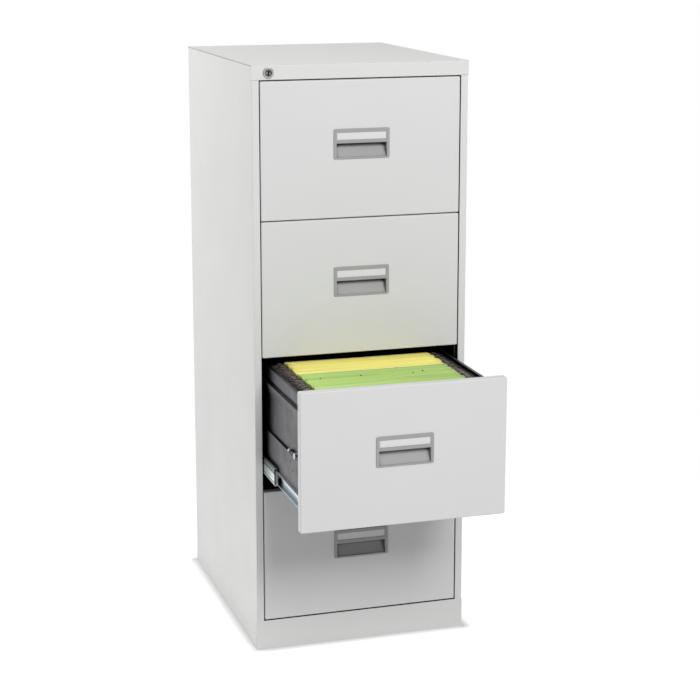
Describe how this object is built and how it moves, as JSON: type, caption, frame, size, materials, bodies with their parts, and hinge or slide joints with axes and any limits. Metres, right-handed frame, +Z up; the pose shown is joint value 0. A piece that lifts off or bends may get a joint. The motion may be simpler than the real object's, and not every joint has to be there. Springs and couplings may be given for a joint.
{
  "type": "filing cabinet",
  "caption": "Upright steel filing cabinet with deep drawers on telescopic slides, recessed handles with label windows, and a lock; one drawer stands open with hanging files.",
  "frame": {"origin": "centre of the carcass footprint, on the floor", "axes": "+X to the right seen from the front, +Y to the back, +Z up"},
  "size_m": [0.495, 0.9274, 1.321],
  "materials": {
    "carcass_paint": "satin light grey paint",
    "front_paint": "satin light grey paint",
    "drawer_paint": "satin dark grey paint",
    "black_steel": "black paint",
    "slide_zinc": "bright zinc plating",
    "handle_plastic": "fine-textured grey plastic",
    "label_card": "blank white card behind the window",
    "lock_metal": "bright nickel plating",
    "lock_steel": "zinc plating",
    "bolt_zinc": "bright zinc plating",
    "file_green": "matt green card",
    "file_yellow": "matt yellow card",
    "hook_plastic": "brown-grey plastic"
  },
  "bodies": {
    "cabinet": {"base_frame": "carcass_paint", "left_side_panel": "carcass_paint", "right_side_panel": "carcass_paint", "back_panel": "carcass_paint", "top_panel": "carcass_paint", "front_left_upright": "slide_zinc", "front_right_upright": "slide_zinc", "rear_left_upright": "slide_zinc", "rear_right_upright": "slide_zinc", "left_cabinet_rails": "slide_zinc", "right_cabinet_rails": "slide_zinc", "lock_housing": "lock_metal", "lock_bar_guides": "black_steel"},
    "lock_cylinder": {"lock_plug": "lock_metal", "lock_cam": "lock_steel"},
    "lock_bar": {"lock_bar": "lock_steel", "lock_bar_fork": "lock_steel"},
    "drawer_1": {"drawer_1_front": "front_paint", "drawer_1_tray": "drawer_paint", "drawer_1_left_side": "drawer_paint", "drawer_1_right_side": "drawer_paint", "drawer_1_hanging_rails": "black_steel", "drawer_1_handle": "handle_plastic", "drawer_1_label_card": "label_card", "drawer_1_inner_rails": "slide_zinc", "drawer_1_fasteners": "bolt_zinc"},
    "drawer_1_slide_members": {"drawer_1_mid_rails": "slide_zinc"},
    "drawer_2": {"drawer_2_front": "front_paint", "drawer_2_tray": "drawer_paint", "drawer_2_left_side": "drawer_paint", "drawer_2_right_side": "drawer_paint", "drawer_2_hanging_rails": "black_steel", "drawer_2_handle": "handle_plastic", "drawer_2_label_card": "label_card", "drawer_2_inner_rails": "slide_zinc", "drawer_2_fasteners": "bolt_zinc"},
    "drawer_2_slide_members": {"drawer_2_mid_rails": "slide_zinc"},
    "drawer_3": {"drawer_3_front": "front_paint", "drawer_3_tray": "drawer_paint", "drawer_3_left_side": "drawer_paint", "drawer_3_right_side": "drawer_paint", "drawer_3_hanging_rails": "black_steel", "drawer_3_handle": "handle_plastic", "drawer_3_label_card": "label_card", "drawer_3_inner_rails": "slide_zinc", "drawer_3_fasteners": "bolt_zinc", "hanging_files_green": "file_green", "hanging_files_yellow": "file_yellow", "file_hooks": "hook_plastic"},
    "drawer_3_slide_members": {"drawer_3_mid_rails": "slide_zinc"},
    "drawer_4": {"drawer_4_front": "front_paint", "drawer_4_tray": "drawer_paint", "drawer_4_left_side": "drawer_paint", "drawer_4_right_side": "drawer_paint", "drawer_4_hanging_rails": "black_steel", "drawer_4_handle": "handle_plastic", "drawer_4_label_card": "label_card", "drawer_4_inner_rails": "slide_zinc", "drawer_4_fasteners": "bolt_zinc"},
    "drawer_4_slide_members": {"drawer_4_mid_rails": "slide_zinc"}
  },
  "joints": [
    {"name": "drawer_1_slide", "type": "slide", "parent": "cabinet", "child": "drawer_1", "axis": [0, -1, 0], "range_m": [0, 0.55]},
    {"name": "drawer_1_middle_members_slide", "type": "slide", "parent": "cabinet", "child": "drawer_1_slide_members", "axis": [0, -1, 0], "range_m": [0, 0.275]},
    {"name": "drawer_2_slide", "type": "slide", "parent": "cabinet", "child": "drawer_2", "axis": [0, -1, 0], "range_m": [0, 0.55]},
    {"name": "drawer_2_middle_members_slide", "type": "slide", "parent": "cabinet", "child": "drawer_2_slide_members", "axis": [0, -1, 0], "range_m": [0, 0.275]},
    {"name": "drawer_3_slide", "type": "slide", "parent": "cabinet", "child": "drawer_3", "axis": [0, -1, 0], "range_m": [-0.3036, 0.2464]},
    {"name": "drawer_3_middle_members_slide", "type": "slide", "parent": "cabinet", "child": "drawer_3_slide_members", "axis": [0, -1, 0], "range_m": [-0.1518, 0.1232]},
    {"name": "drawer_4_slide", "type": "slide", "parent": "cabinet", "child": "drawer_4", "axis": [0, -1, 0], "range_m": [0, 0.55]},
    {"name": "drawer_4_middle_members_slide", "type": "slide", "parent": "cabinet", "child": "drawer_4_slide_members", "axis": [0, -1, 0], "range_m": [0, 0.275]},
    {"name": "lock_turn", "type": "hinge", "parent": "cabinet", "child": "lock_cylinder", "pos_m": [-0.209, -0.311, 1.3045], "axis": [0, 1, 0], "range_deg": [0, 90]},
    {"name": "lock_bar_lift", "type": "slide", "parent": "cabinet", "child": "lock_bar", "axis": [0, 0, 1], "range_m": [0, 0.0113]}
  ],
  "couplings": [
    {"joint": "drawer_1_middle_members_slide", "follows": "drawer_1_slide", "ratio": 0.5},
    {"joint": "drawer_2_middle_members_slide", "follows": "drawer_2_slide", "ratio": 0.5},
    {"joint": "drawer_3_middle_members_slide", "follows": "drawer_3_slide", "ratio": 0.5},
    {"joint": "drawer_4_middle_members_slide", "follows": "drawer_4_slide", "ratio": 0.5},
    {"joint": "lock_turn", "follows": "lock_bar_lift", "rad_per_m": 138.84}
  ]
}
